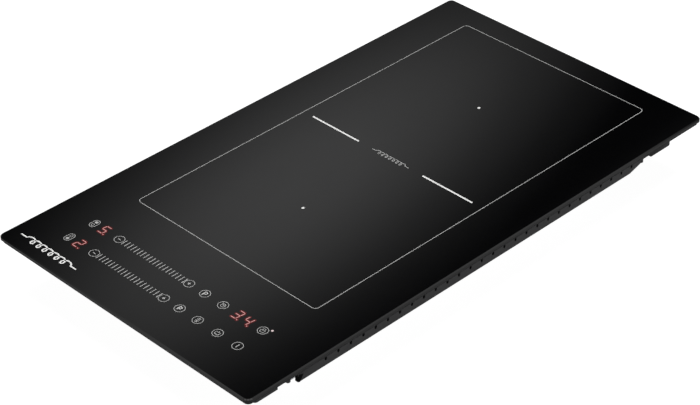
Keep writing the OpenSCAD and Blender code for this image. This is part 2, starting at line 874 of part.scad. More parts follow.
module shield_supports() {
  floor_z = deep_z + sheet;
  wall = 1.2;
  size = [14, 20, shield_z - floor_z];
  color([0.7, 0.71, 0.73])
  for (x = [-116, 116], y = [-120, 0, 110])
    translate([x - size[0] / 2, y - size[1] / 2, floor_z]) difference() {
      cube(size);
      translate([wall, -1, wall]) cube([size[0] - 2 * wall, size[1] + 2, size[2] - 2 * wall]);
    }
}

// ---- touch control ----

module control_board_holder() {
  x = 113;
  front = -241;
  depth = 55;
  wall = 1.5;
  inner_z = holder_z + wall;
  post_z = inner_z - 0.1;
  slot_w = ribbon_x[1] - ribbon_x[0] + 8;
  color([0.85, 0.85, 0.83]) {
    difference() {
      translate([-x, front, holder_z]) cube([2 * x, depth, 4]);
      translate([wall - x, front + wall, inner_z]) cube([2 * (x - wall), depth - 2 * wall, 4]);
      for (cx = [-80 : 40 : 80]) translate([cx - 12, -228, holder_z - 1]) cube([24, 30, 4]);
      translate([ribbon_x[0] - 4, -195, holder_z - 1]) cube([slot_w, 12, 6]);
    }
    for (cx = [-100, -60, -20, 60, 100], y = [-235, -190])
      translate([cx - 3, y - 2, post_z]) cube([6, 4, control_z - post_z]);
  }
}

module control_board() {
  half = 110;
  color([0.05, 0.25, 0.3])
  translate([-half, -238.5, control_z]) cube([2 * half, 50.5, control_t]);
  color([0.9, 0.9, 0.88])
  translate([ribbon_x[0] - 2, -192.5, control_z - 2.8]) cube([ribbon_x[1] - ribbon_x[0] + 4, 3, 2.9]);
}

module display_box(x, y, w) {
  depth = 13;
  rim = 0.8;
  translate([x - w / 2, y - depth / 2, control_top]) difference() {
    cube([w, depth, display_h]);
    translate([rim, rim, display_h - 0.4]) cube([w - 2 * rim, depth - 2 * rim, 1]);
  }
}

module zone_displays() {
  color([0.3, 0.05, 0.05]) for (y = [row_rear_y, row_front_y]) display_box(digit_x, y, 10);
}

module timer_display() {
  color([0.3, 0.05, 0.05]) display_box(timer_x, row_rear_y, 22);
}

// Beehive contact spring under one touch key
module touch_spring(x, y) {
  h = glass_z - control_top - 0.1;
  translate([x, y, control_top]) {
    cylinder(r = 2.4, h = h);
    for (i = [0 : 2]) translate([0, 0, 0.3 + i]) cylinder(r1 = 3.2 - i * 0.2, r2 = 2.6, h = 0.5);
    translate([0, 0, h - 0.4]) cylinder(r = 4, h = 0.4);
  }
}

module touch_springs() {
  color([0.85, 0.85, 0.87]) {
    for (x = rear_key_x) touch_spring(x, row_rear_y);
    for (x = front_key_x) touch_spring(x, row_front_y);
  }
}

module ribbon_cable() {
  t = 0.8;
  w = ribbon_x[1] - ribbon_x[0];
  header_h = 5;
  plug_y = -189.5;
  high = control_z - 1.8;
  low = board_top + header_h;
  color([0.75, 0.75, 0.78])
  translate([ribbon_x[0], 0, 0]) rotate([90, 0, 90]) linear_extrude(height = w) polygon([
    [plug_y, high - t], [plug_y, high], [ribbon_y + t, high],
    [ribbon_y + t, low], [ribbon_y, low], [ribbon_y, high - t]
  ]);
  color([0.9, 0.9, 0.88])
  translate([ribbon_x[0] - 2, ribbon_y - 1.6, board_top]) cube([w + 4, 4, header_h]);
}

// ---- mains inlet ----

module terminal_box() {
  w = box_w;
  l = box_y[1] - box_y[0];
  h = box_z[1] - box_z[0];
  knuckle = [6, 5.6, 3.4];
  knuckle_x = [4, w - 10];
  latch = [10, 9];
  latch_x = (w - latch[0]) / 2;
  beam_x = 19;
  color([0.07, 0.07, 0.07])
  difference() {
    translate([box_x, box_y[0], box_z[0]]) {
      linear_extrude(height = h) round_rect(0, 0, w, l, 3);
      cube([w, 6, h]);
      for (x = knuckle_x) translate([x, hinge_y - box_y[0], hinge_z - box_z[0]]) {
        rotate([0, 90, 0]) cylinder(r = knuckle[1] / 2, h = knuckle[0]);
        translate([0, -knuckle[1] / 2, 0]) cube(knuckle);
      }
      translate([latch_x, l - latch[1], 0]) cube([latch[0], latch[1], h]);
    }
    // The hollow, less the hinge blocks, the beam over the wires and the screw post
    translate([box_x, box_y[0], box_z[0] - 6]) difference() {
      linear_extrude(height = h + 6 - box_t) round_rect(box_t, box_t, w - box_t, l - box_t, 2);
      for (x = knuckle_x) translate([x, 0, 0]) cube([knuckle[0], 8.1, 12]);
      translate([beam_x, 0, 6]) cube([w - 2 * beam_x, 7.5, box_t]);
      translate([latch_x, l - latch[1], 0]) cube([latch[0], 12, h + 6]);
    }
    for (x = wire_x) translate([x, box_y[0] - 1, wire_z]) rotate([-90, 0, 0]) cylinder(r = 2.2, h = 5);
    translate([inlet_x, box_y[1] - 5, inlet_z]) rotate([-90, 0, 0]) cylinder(r = 8, h = 8);
    translate([box_x - 1, hinge_y, hinge_z]) rotate([0, 90, 0]) cylinder(r = hinge_r + 0.08, h = w + 2);
    translate([box_x + w / 2, box_y[1] - 4.5, box_z[0] - 1]) cylinder(r = m3_r, h = 10);
  }
}

module terminal_cover() {
  w = box_w;
  l = box_y[1] - box_y[0];
  z = box_z[0] - 0.3 - cover_t;
  plate_y = hinge_y + 3.4;
  pin_l = 3;
  knuckle_w = 6;
  knuckle_x = [box_x + 10.5, box_x + w - 10.5 - knuckle_w];
  pin_x = [knuckle_x[0] - pin_l, knuckle_x[1] + knuckle_w - 0.1];
  rib_w = 2;
  rib_pitch = 12;
  color([0.08, 0.08, 0.08])
  difference() {
    union() {
      translate([box_x, plate_y, z]) linear_extrude(height = cover_t) {
        round_rect(0, 0, w, box_y[1] - plate_y, 3);
        square([w, 6]);
      }
      for (x = knuckle_x) translate([x, hinge_y, hinge_z]) {
        rotate([0, 90, 0]) cylinder(r = 2.4, h = knuckle_w);
        translate([0, 0, z - hinge_z]) cube([knuckle_w, 5, cover_t]);
      }
      for (x = pin_x) translate([x, hinge_y, hinge_z])
        rotate([0, 90, 0]) cylinder(r = hinge_r, h = pin_l + 0.1);
      for (i = [-2 : 2]) translate([box_x + (w - rib_w) / 2 + i * rib_pitch, box_y[0] + 14, z - 0.6])
        cube([rib_w, l - 30, 0.7]);
    }
    translate([box_x + w / 2, box_y[1] - 4.5, z - 1]) cylinder(r = m3_r + 0.1, h = 10);
  }
}

module terminal_cover_screw() {
  z = box_z[0] - 0.3 - cover_t - m3_head_h;
  color([0.75, 0.76, 0.78])
  translate([box_x + box_w / 2, box_y[1] - 4.5, z]) screw(m3_r, m3_head_r, m3_head_h, cover_t + 0.2);
}

module mains_terminal_block() {
  x0 = wire_x[0] - 5;
  y0 = 188;
  z0 = 13;
  size = [34, 18, 14.5];
  color([0.85, 0.85, 0.82])
  difference() {
    translate([x0, y0, z0]) cube(size);
    for (x = wire_x) {
      translate([x, y0 - 1, wire_z]) rotate([-90, 0, 0]) cylinder(r = wire_r + 0.3, h = size[1] + 2);
      for (y = [y0 + 4.5, y0 + 13.5]) translate([x, y, z0 - 1]) cylinder(r = 1.9, h = 6);
    }
  }
}

module cord_inlet_bush() {
  color([0.05, 0.05, 0.05])
  translate([inlet_x, box_y[1] - 5.5, inlet_z]) rotate([-90, 0, 0]) difference() {
    union() {
      cylinder(r = 7.8, h = bush_l - 1.5);
      translate([0, 0, bush_l - 1.5]) cylinder(r1 = 7.8, r2 = 6.8, h = 1.5);
      cylinder(r = 9, h = 5.5 - box_t);
      translate([0, 0, 5.6]) cylinder(r = 10.5, h = 3, $fn = 6);
    }
    translate([0, 0, -1]) cylinder(r = cord_r, h = bush_l + 2);
  }
}

module mains_leads() {
  color([0.5, 0.3, 0.15])
  for (x = wire_x) wire([[x, 192, wire_z], [x, 158, wire_z], [x, 158, board_top]], wire_r);
}

module earth_screw() {
  color([0.75, 0.6, 0.3])
  translate([-60, belly_rear + m4_head_h, wire_z]) rotate([90, 0, 0]) screw(m4_r, m4_head_r, m4_head_h, 6);
}

// ---- worktop brackets ----

// Strap that points to the middle at rest and swings out under the worktop
module bracket(p) {
  side = p[0] > 0 ? -1 : 1;
  outer = p[1] > 0 ? 1 : -1;
  half = bracket_w / 2;
  tip_l = 2.1;
  strap_l = bracket_reach - 2;
  strap_x = side > 0 ? 0 : -strap_l;
  tip_x = side > 0 ? bracket_reach - tip_l : -bracket_reach;
  lip_x = side > 0 ? 9 : 4 - bracket_reach;
  lip_t = 1.5;
  color([0.7, 0.71, 0.73])
  translate([p[0], p[1], p[2] - bracket_drop]) difference() {
    union() {
      cylinder(r = half, h = bracket_t);
      translate([strap_x, -half, 0]) cube([strap_l, bracket_w, bracket_t]);
      translate([tip_x, 2 - half, 0]) cube([tip_l, bracket_w - 4, bracket_t]);
      translate([lip_x, outer > 0 ? -half : half - lip_t, -bracket_lip])
        cube([bracket_reach - 13, lip_t, bracket_lip + 0.1]);
    }
    translate([0, 0, -eps]) cylinder(r = m4_r, h = bracket_t + 2 * eps);
    translate([side * 22, 0, -eps]) cylinder(r = 2.6, h = bracket_t + 2 * eps);
  }
}

module bracket_front_left() bracket(bracket_at[0]);
module bracket_front_right() bracket(bracket_at[1]);
module bracket_rear_left() bracket(bracket_at[2]);
module bracket_rear_right() bracket(bracket_at[3]);

glass_plate();
worktop_seal();
glass_adhesive();
upper_tray();
lower_tray();
case_screws();
base_feet();
cutout_guide_pins();
fan_grille();
blower_housing();
blower_lid();
blower_motor();
blower_wheel();
power_board();
board_standoffs();
board_screws();
heat_sink();
power_transistors();
bridge_rectifier();
film_capacitors();
storage_capacitors();
mains_choke();
power_relay();
mains_fuse();
lead_sockets();
air_duct();
terminal_box();
mains_terminal_block();
cord_inlet_bush();
mains_leads();
earth_screw();
terminal_cover();
terminal_cover_screw();
control_board();
control_board_holder();
zone_displays();
timer_display();
touch_springs();
buzzer();
ribbon_cable();
shield_plate();
shield_supports();
front_coil_springs();
front_coil_former();
front_coil_winding();
front_ferrite_bars();
front_mica_disc();
front_sensor();
front_coil_leads();
rear_coil_springs();
rear_coil_former();
rear_coil_winding();
rear_ferrite_bars();
rear_mica_disc();
rear_sensor();
rear_coil_leads();
bracket_front_left();
bracket_front_right();
bracket_rear_left();
bracket_rear_right();
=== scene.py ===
"""Looks of a drop-in induction cooktop: glass, print, lit digits, tray, fittings and studio."""

import json
import math

import bmesh
import bpy
from mathutils import Matrix, Vector


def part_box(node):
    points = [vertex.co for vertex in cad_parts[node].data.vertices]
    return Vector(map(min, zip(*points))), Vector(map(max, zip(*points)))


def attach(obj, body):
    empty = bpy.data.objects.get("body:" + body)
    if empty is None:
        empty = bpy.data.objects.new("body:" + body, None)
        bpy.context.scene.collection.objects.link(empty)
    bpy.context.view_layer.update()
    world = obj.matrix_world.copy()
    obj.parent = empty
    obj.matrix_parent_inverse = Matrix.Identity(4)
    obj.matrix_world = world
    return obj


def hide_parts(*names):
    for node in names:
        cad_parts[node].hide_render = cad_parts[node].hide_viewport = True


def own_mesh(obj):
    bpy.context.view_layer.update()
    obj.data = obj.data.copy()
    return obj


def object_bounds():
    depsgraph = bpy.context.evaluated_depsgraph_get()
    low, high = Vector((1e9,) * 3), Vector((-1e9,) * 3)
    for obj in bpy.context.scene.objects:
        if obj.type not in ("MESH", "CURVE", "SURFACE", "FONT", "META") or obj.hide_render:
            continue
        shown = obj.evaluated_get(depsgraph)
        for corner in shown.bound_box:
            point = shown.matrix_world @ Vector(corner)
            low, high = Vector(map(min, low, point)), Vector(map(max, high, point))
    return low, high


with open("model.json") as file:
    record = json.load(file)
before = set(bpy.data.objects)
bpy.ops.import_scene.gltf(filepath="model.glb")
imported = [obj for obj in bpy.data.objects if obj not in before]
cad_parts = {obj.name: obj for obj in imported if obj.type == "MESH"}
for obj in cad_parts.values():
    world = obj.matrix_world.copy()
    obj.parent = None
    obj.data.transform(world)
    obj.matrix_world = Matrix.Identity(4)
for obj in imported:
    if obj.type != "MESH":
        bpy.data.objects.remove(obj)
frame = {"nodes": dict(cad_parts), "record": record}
CAD_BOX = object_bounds()

MM = 0.001
ROOT = "housing"

# ---- places taken from the frame ----

GLASS_LO, GLASS_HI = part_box("glass_plate")
GLASS_TOP = GLASS_HI[2]
CENTRE_X = (GLASS_LO[0] + GLASS_HI[0]) / 2
CENTRE_Y = (GLASS_LO[1] + GLASS_HI[1]) / 2


def middle(node):
    """Centre of a CAD node's box at rest."""
    low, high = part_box(node)
    return [(a + b) / 2 for a, b in zip(low, high)]


# ---- print layout, millimetres from the glass centre ----

INK_H = 0.04
ZONE_HALF_W = 102.6
ZONE_FRONT = -152.95
ZONE_REAR = 235.5
ZONE_R = 4.0
ZONE_LINE = 0.57
DOT_R = 1.3
DIVIDER_Y = 32.35
DIVIDER_W = 1.7
DIVIDER_X = (36.7, 91.6)
# Height of the front key row above the front edge of the zone displays
ROW_DISPLAY_OFFSET = 6.5

KEY_R = 4.55
KEY_LINE = 0.48
PILL_X = -102.3
MINUS_X = -71.8
PLUS_X = 10.6
BOOST_X = 28.7
TIMER_KEY_X = 49.0
WARM_X = 71.15
POWER_X = 93.0
SLIDER_X = -66.0
SLIDER_PITCH = 3.76
SLIDER_BARS = 20
SLIDER_BAR = (0.68, 6.8)

# Coil signs: piece, x of both ends, y, loops, loop height, line width, material
COIL_SIGNS = [
    ("centre_mark", (-21.0, 21.0), DIVIDER_Y, 8, 4.6, 0.6, "screen_print"),
    ("front_badge", (-133.0, -65.0), -246.7, 7, 7.3, 1.3, "bold_print"),
]
# Share of a coil sign that each straight end takes, sway of its loops, and points to a loop
COIL_LEAD = 0.1
COIL_SWING = 0.4
COIL_STEPS = 20


# ---- materials ----

# Range of pointiness that the painted light mask spreads from black to white, from painted shade in
# creases to painted highlight on convex edges
POINTINESS = (0.52, 0.6)
# Colour sockets of the mix node, which has one set of sockets for each type of data
MIX_FACTOR = 0
MIX_A = 6
MIX_B = 7
MIX_RESULT = 2


def new_material(name):
    """A node material; returns it, its node tree and its Principled shader."""
    material = bpy.data.materials.new(name)
    material.use_nodes = True
    tree = material.node_tree
    return material, tree, tree.nodes["Principled BSDF"]


def add(tree, kind, **values):
    """A shader node with its properties, or its named inputs, set from keywords."""
    node = tree.nodes.new(kind)
    for key, value in values.items():
        if hasattr(node, key):
            setattr(node, key, value)
        else:
            node.inputs[key.replace("_", " ")].default_value = value
    return node


def object_coords(tree, scale=(1, 1, 1)):
    """Object coordinates, stretched by scale."""
    coords = add(tree, "ShaderNodeTexCoord")
    mapping = add(tree, "ShaderNodeMapping")
    mapping.inputs["Scale"].default_value = scale
    tree.links.new(coords.outputs["Object"], mapping.inputs["Vector"])
    return mapping.outputs["Vector"]


def noise(tree, scale, detail=4, roughness=0.6, stretch=(1, 1, 1)):
    """Noise value output at a scale in cycles per metre."""
    node = add(tree, "ShaderNodeTexNoise", Scale=scale, Detail=detail, Roughness=roughness)
    tree.links.new(object_coords(tree, stretch), node.inputs["Vector"])
    return node.outputs["Fac"]


def ramp(tree, value, stops):
    """Colour ramp of (position, colour) stops driven by value."""
    node = add(tree, "ShaderNodeValToRGB")
    band = node.color_ramp
    while len(band.elements) < len(stops):
        band.elements.new(0.5)
    for element, (position, colour) in zip(band.elements, stops):
        element.position = position
        element.color = (*colour[:3], 1.0)
    tree.links.new(value, node.inputs["Fac"])
    return node.outputs["Color"]


def span(tree, value, low, high, to_low, to_high):
    """Value mapped from low..high to to_low..to_high and clamped."""
    node = add(tree, "ShaderNodeMapRange")
    sockets = ("From Min", "From Max", "To Min", "To Max")
    for socket, number in zip(sockets, (low, high, to_low, to_high)):
        node.inputs[socket].default_value = number
    tree.links.new(value, node.inputs["Value"])
    return node.outputs["Result"]


def bump(tree, shader, value, distance, strength=1.0):
    """Bump of a height given in metres."""
    node = add(tree, "ShaderNodeBump", Strength=strength, Distance=distance)
    tree.links.new(value, node.inputs["Height"])
    tree.links.new(node.outputs["Normal"], shader.inputs["Normal"])


def shade(colour, factor):
    """Colour times factor."""
    return tuple(c * factor for c in colour[:3])


def varied(tree, shader, value, colour, low, high, stops=(0.3, 0.7)):
    """Base colour that goes from low to high times a colour as a noise value rises."""
    shades = [(stop, shade(colour, factor)) for stop, factor in zip(stops, (low, high))]
    tree.links.new(ramp(tree, value, shades), shader.inputs["Base Color"])


def gloss(tree, shader, value, rough_low, rough_high, low=0.3, high=0.7):
    """Roughness that goes from one number to another as a noise value rises from low to high."""
    tree.links.new(span(tree, value, low, high, rough_low, rough_high), shader.inputs["Roughness"])


def painted_light_mask(tree):
    """Painted light mask: white on convex edges, and on coarse flat walls whose every corner is convex,
    for a painted highlight; black in creases, for painted shade.
    """
    geometry = add(tree, "ShaderNodeNewGeometry")
    return span(tree, geometry.outputs["Pointiness"], *POINTINESS, 0.0, 1.0)


def mottled(
    name, colour, rough, metal=0.0, grain=900.0, depth=0.00002, spread=0.18, stretch=(1, 1, 1)
):
    """General finish: colour and gloss vary with two scales of noise, over a fine bump."""
    material, tree, shader = new_material(name)
    broad = noise(tree, grain / 12, 3, 0.55, stretch)
    fine = noise(tree, grain, 5, 0.65, stretch)
    varied(tree, shader, broad, colour, 1 - spread, 1 + spread)
    gloss(tree, shader, fine, rough * 0.85, min(rough * 1.15, 1.0))
    shader.inputs["Metallic"].default_value = metal
    bump(tree, shader, fine, depth)
    return material


def black_glass():
    """Ceramic glass: deep black body, faint polish waviness, dust-fine variation in gloss."""
    material, tree, shader = new_material("black_glass")
    flecks = noise(tree, 2600.0, 2, 0.5)
    body = ramp(tree, flecks, [(0.35, (0.0008, 0.0008, 0.0009)), (0.72, (0.0022, 0.0022, 0.0025))])
    tree.links.new(body, shader.inputs["Base Color"])
    wear = noise(tree, 35.0, 6, 0.7)
    gloss(tree, shader, wear, 0.055, 0.085, 0.35, 0.75)
    shader.inputs["IOR"].default_value = 1.5
    wave = noise(tree, 9.0, 2, 0.4)
    bump(tree, shader, wave, 0.00004, 0.35)
    return material


def powder_coat():
    """Fine black powder coat on the tray; the painted light mask picks the tone of most of its flat
    walls, lighter on convex edges as painted highlight and darker in creases as painted shade.
    """
    material, tree, shader = new_material("tray_paint")
    orange_peel = noise(tree, 2400.0, 3, 0.6)
    cloud = noise(tree, 55.0, 4, 0.6)
    base = ramp(tree, cloud, [(0.3, (0.008, 0.008, 0.0085)), (0.7, (0.012, 0.012, 0.0125))])
    # Painted light: the lighter tone on convex edges and coarse flat walls is a painted highlight, the
    # darker tone left in creases is painted shade
    mix = add(tree, "ShaderNodeMix", data_type="RGBA")
    tree.links.new(painted_light_mask(tree), mix.inputs[MIX_FACTOR])
    tree.links.new(base, mix.inputs[MIX_A])
    mix.inputs[MIX_B].default_value = (0.034, 0.034, 0.035, 1)
    tree.links.new(mix.outputs[MIX_RESULT], shader.inputs["Base Color"])
    shader.inputs["Specular IOR Level"].default_value = 0.25
    gloss(tree, shader, orange_peel, 0.42, 0.6)
    bump(tree, shader, orange_peel, 0.00004, 0.7)
    return material


def galvanised():
    """Zinc-coated sheet with its crystal spangle and faint rolling lines."""
    material, tree, shader = new_material("zinc_sheet")
    cells = add(tree, "ShaderNodeTexVoronoi", Scale=190.0)
    tree.links.new(object_coords(tree, (1.0, 0.7, 1.0)), cells.inputs["Vector"])
    grey = add(tree, "ShaderNodeSeparateColor")
    tree.links.new(cells.outputs["Color"], grey.inputs[0])
    spangle = grey.outputs[0]
    rolling = noise(tree, 420.0, 3, 0.5, (1.0, 0.04, 1.0))
    colours = ramp(tree, spangle, [(0.0, (0.55, 0.56, 0.575)), (1.0, (0.68, 0.69, 0.7))])
    tree.links.new(colours, shader.inputs["Base Color"])
    gloss(tree, shader, spangle, 0.36, 0.46, 0.0, 1.0)
    shader.inputs["Metallic"].default_value = 0.85
    bump(tree, shader, rolling, 0.00001, 0.6)
    return material


def painted_shade_black():
    """Near-black, open-celled look that swallows nearly all light: painted shade for the rail ends,
    which lie in shade.
    """
    material, tree, shader = new_material("painted_shade_black")
    cells = noise(tree, 1500.0, 3, 0.7)
    base = ramp(tree, cells, [(0.35, (0.0015, 0.0015, 0.0015)), (0.65, (0.005, 0.005, 0.005))])
    tree.links.new(base, shader.inputs["Base Color"])
    shader.inputs["Roughness"].default_value = 0.95
    shader.inputs["Specular IOR Level"].default_value = 0.05
    bump(tree, shader, cells, 0.0001, 0.8)
    return material


def screen_print(name, grey):
    """Ceramic ink fired into the glass: slightly uneven grey with a dot texture."""
    material, tree, shader = new_material(name)
    grain = noise(tree, 5200.0, 2, 0.5)
    varied(tree, shader, grain, (grey, grey, grey * 0.985), 0.92, 1.08)
    gloss(tree, shader, grain, 0.35, 0.55)
    bump(tree, shader, grain, 0.00001, 0.5)
    return material


def glowing(name, colour):
    """Light seen through the glass, a little uneven over the segment."""
    material, tree, shader = new_material(name)
    unevenness = noise(tree, 700.0, 2, 0.5)
    colours = ramp(tree, unevenness, [(0.3, shade(colour, 0.88)), (0.7, shade(colour, 1.12))])
    tree.links.new(colours, shader.inputs["Emission Color"])
    shader.inputs["Base Color"].default_value = (0.01, 0.004, 0.004, 1)
    shader.inputs["Emission Strength"].default_value = 1.0
    shader.inputs["Roughness"].default_value = 0.12
    return material


def plated(name, colour, rough=0.28):
    """Bright zinc or chrome plating with turning marks and small stains."""
    material, tree, shader = new_material(name)
    stain = noise(tree, 260.0, 5, 0.65)
    marks = noise(tree, 3000.0, 2, 0.5, (1.0, 1.0, 0.2))
    varied(tree, shader, stain, colour, 0.78, 1.0, (0.35, 0.65))
    gloss(tree, shader, stain, rough * 1.3, rough * 0.8)
    shader.inputs["Metallic"].default_value = 1.0
    bump(tree, shader, marks, 0.000008, 0.6)
    return material


MATERIALS = {
    "black_glass": black_glass(),
    "tray_paint": powder_coat(),
    "zinc_sheet": galvanised(),
    # Near-black painted shade for the front ends of the tray's side rails
    "painted_shade_black": painted_shade_black(),
    "screen_print": screen_print("screen_print", 0.4),
    "bold_print": screen_print("bold_print", 0.74),
    "lit_segment": glowing("lit_segment", (0.74, 0.43, 0.41)),
    "segment_glow": glowing("segment_glow", (0.16, 0.004, 0.005)),
    "segment_halo": glowing("segment_halo", (0.075, 0.003, 0.004)),
    "lamp_glow": glowing("lamp_glow", (0.75, 0.62, 0.62)),
    "plated_steel": plated("plated_steel", (0.62, 0.61, 0.58)),
    "spring_steel": plated("spring_steel", (0.55, 0.55, 0.56), 0.2),
    "brass_plain": plated("brass_plain", (0.75, 0.55, 0.24)),
}

# Name, colour, roughness, and what differs from a plain mottled finish
MOTTLED = [
    ("seal_foam", (0.012, 0.012, 0.013), 0.92, {"grain": 2800.0, "depth": 0.00022, "spread": 0.4}),
    ("silicone", (0.02, 0.02, 0.021), 0.45, {"grain": 500.0, "depth": 0.00005}),
    ("plate_silver", (0.62, 0.62, 0.63), 0.38,
     {"metal": 1.0, "grain": 1200.0, "depth": 0.00001, "spread": 0.1, "stretch": (1, 0.05, 1)}),
    ("black_plastic", (0.016, 0.016, 0.017), 0.5, {"grain": 1900.0, "depth": 0.00005}),
    ("white_plastic", (0.62, 0.62, 0.58), 0.5, {"grain": 1500.0, "spread": 0.05}),
    ("circuit_board", (0.012, 0.12, 0.04), 0.3, {"grain": 1100.0, "spread": 0.3}),
    ("component_black", (0.014, 0.014, 0.015), 0.4, {"grain": 1600.0}),
    ("capacitor_yellow", (0.55, 0.4, 0.08), 0.35, {"spread": 0.08}),
    ("capacitor_sleeve", (0.015, 0.02, 0.1), 0.3, {"grain": 800.0}),
    ("aluminium_plain", (0.68, 0.69, 0.7), 0.35,
     {"metal": 1.0, "grain": 1500.0, "depth": 0.00001, "spread": 0.1, "stretch": (1, 0.06, 1)}),
    ("copper_wire", (0.72, 0.3, 0.12), 0.32,
     {"metal": 0.9, "grain": 1800.0, "depth": 0.00005, "spread": 0.2, "stretch": (1, 1, 3)}),
    ("ferrite_grey", (0.05, 0.05, 0.053), 0.7, {"metal": 0.2, "grain": 1400.0, "depth": 0.00004}),
    ("mica_sheet", (0.5, 0.42, 0.28), 0.35, {"grain": 600.0, "spread": 0.25}),
    ("sensor_ceramic", (0.75, 0.74, 0.7), 0.45, {"spread": 0.06}),
    ("ribbon_grey", (0.42, 0.42, 0.44), 0.5, {"grain": 800.0, "stretch": (6, 0.3, 0.3)}),
    ("lead_insulation", (0.3, 0.07, 0.02), 0.5, {}),
    ("display_red", (0.03, 0.003, 0.003), 0.15, {}),
]
MATERIALS.update(
    (name, mottled(name, colour, rough, **changes)) for name, colour, rough, changes in MOTTLED
)


def dress_cad_nodes():
    """Gives each CAD node the finish of its material slot."""
    for row in frame["record"]["subparts"]:
        node = frame["nodes"][row["node"]]
        node.data.materials.clear()
        node.data.materials.append(MATERIALS[row["material_slot"]])


# ---- flat printed shapes ----

TINY = 1e-9
# Least cosine of half a corner's turn, so that no mitre runs far out
MITRE_LIMIT = 0.4


class Ink:
    """Collects thin raised shapes, drawn in millimetres from the glass centre, into one mesh."""

    def __init__(self, height=INK_H):
        self.mesh = bmesh.new()
        self.low = GLASS_TOP
        self.high = GLASS_TOP + height * MM

    def _point(self, p, z):
        return self.mesh.verts.new((CENTRE_X + p[0] * MM, CENTRE_Y + p[1] * MM, z))

    def band(self, left, right, closed):
        """A strip between two equal lists of points."""
        rings = []
        for a, b in zip(left, right):
            corners = ((a, self.low), (a, self.high), (b, self.high), (b, self.low))
            rings.append([self._point(p, z) for p, z in corners])
        count = len(rings)
        for i in range(count if closed else count - 1):
            a, b = rings[i], rings[(i + 1) % count]
            for j in range(len(a)):
                k = (j + 1) % len(a)
                self.mesh.faces.new((a[j], a[k], b[k], b[j]))
        if not closed:
            self.mesh.faces.new(reversed(rings[0]))
            self.mesh.faces.new(rings[-1])

    def stroke(self, path, width, closed=False):
        """A line of even width along a path, mitred at its corners."""
        count = len(path)
        left, right = [], []
        for i, p in enumerate(path):
            before = path[(i - 1) % count] if closed or i > 0 else p
            after = path[(i + 1) % count] if closed or i < count - 1 else p
            inward = Vector((p[0] - before[0], p[1] - before[1]))
            onward = Vector((after[0] - p[0], after[1] - p[1]))
            if inward.length < TINY:
                inward = onward
            if onward.length < TINY:
                onward = inward
            along = (inward.normalized() + onward.normalized()).normalized()
            half = width / 2 / max(along.dot(onward.normalized()), MITRE_LIMIT)
            side = Vector((-along.y, along.x)) * half
            left.append((p[0] + side.x, p[1] + side.y))
            right.append((p[0] - side.x, p[1] - side.y))
        self.band(left, right, closed)

    def fill(self, outline):
        """A solid flat shape."""
        low = [self._point(p, self.low) for p in outline]
        high = [self._point(p, self.high) for p in outline]
        self.mesh.faces.new(high)
        self.mesh.faces.new(reversed(low))
        for i in range(len(outline)):
            j = (i + 1) % len(outline)
            self.mesh.faces.new((low[i], low[j], high[j], high[i]))

    def finish(self, name, material):
        """Makes the object, and lets it ride on the housing."""
        make_piece(name, self.mesh, material, ROOT)


def place_object(name, data):
    """An object for a mesh, light or camera, put into the scene."""
    thing = bpy.data.objects.new(name, data)
    bpy.context.scene.collection.objects.link(thing)
    return thing


def mesh_object(name, mesh, material):
    """An object from a bmesh, which is used up."""
    data = bpy.data.meshes.new(name)
    mesh.to_mesh(data)
    mesh.free()
    data.materials.append(material)
    return place_object(name, data)


def make_piece(name, mesh, material, body, smooth=False):
    """A closed piece from a bmesh, with its material and body."""
    bmesh.ops.recalc_face_normals(mesh, faces=mesh.faces)
    piece = mesh_object(name, mesh, MATERIALS[material])
    if smooth:
        for face in piece.data.polygons:
            face.use_smooth = True
    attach(piece, body)
    return piece


def arc(x, y, r, start=0.0, end=360.0, steps=32):
    """Points along an arc, in degrees anticlockwise; a full circle leaves out its last point."""
    full = abs(end - start) >= 360
    count = steps if full else steps + 1
    turns = [math.radians(start + (end - start) * i / steps) for i in range(count)]
    return [(x + r * math.cos(a), y + r * math.sin(a)) for a in turns]


def round_rect(x0, y0, x1, y1, r, steps=8):
    """Outline of a rectangle with round corners, anticlockwise."""
    corners = [
        (x1 - r, y1 - r, 0), (x0 + r, y1 - r, 90), (x0 + r, y0 + r, 180), (x1 - r, y0 + r, 270),
    ]
    return [p for x, y, a in corners for p in arc(x, y, r, a, a + 90, steps)]


def print_zone():
    """The cooking zone's outline, centre dots and divider bars."""
    ink = Ink()
    outline = round_rect(-ZONE_HALF_W, ZONE_FRONT, ZONE_HALF_W, ZONE_REAR, ZONE_R)
    ink.stroke(outline, ZONE_LINE, closed=True)
    ink.finish("zone_outline", "screen_print")
    for end in ("front", "rear"):
        ink = Ink()
        x, y, _ = middle(end + "_sensor")
        ink.fill(arc((x - CENTRE_X) / MM, (y - CENTRE_Y) / MM, DOT_R))
        ink.finish(end + "_zone_dot", "bold_print")
    ink = Ink()
    for side in (-1, 1):
        ink.stroke([(side * x, DIVIDER_Y) for x in DIVIDER_X], DIVIDER_W)
    ink.finish("zone_dividers", "bold_print")


def coil_loops(ink, x0, x1, y, loops, height, width):
    """The plain coil sign: a row of loops drawn as one cycloid between two straight ends."""
    lead = (x1 - x0) * COIL_LEAD
    wound = x1 - x0 - 2 * lead
    swing = wound / loops * COIL_SWING
    rise = (height - width) / 2
    steps = COIL_STEPS * loops
    path = [(x0, y)]
    for i in range(steps + 1):
        share = i / steps
        turn = math.tau * (0.25 + (loops - 0.5) * share)
        sway = swing * (1 - 2 * share) - swing * math.sin(turn)
        path.append((x0 + lead + wound * share + sway, y - rise * math.cos(turn)))
    path.append((x1, y))
    ink.stroke(path, width)


def print_marks():
    """Plain coil signs where wording would be."""
    for name, ends, y, loops, height, width, material in COIL_SIGNS:
        ink = Ink()
        coil_loops(ink, *ends, y, loops, height, width)
        ink.finish(name, material)


# ---- key symbols, each drawn around (x, y) in millimetres ----

def key_ring(ink, x, y):
    """The ring round every key."""
    ink.stroke(arc(x, y, KEY_R - KEY_LINE / 2), KEY_LINE, closed=True)


def minus_key(ink, x, y):
    """A ringed minus."""
    key_ring(ink, x, y)
    ink.stroke([(x - 1.5, y), (x + 1.5, y)], 0.7)


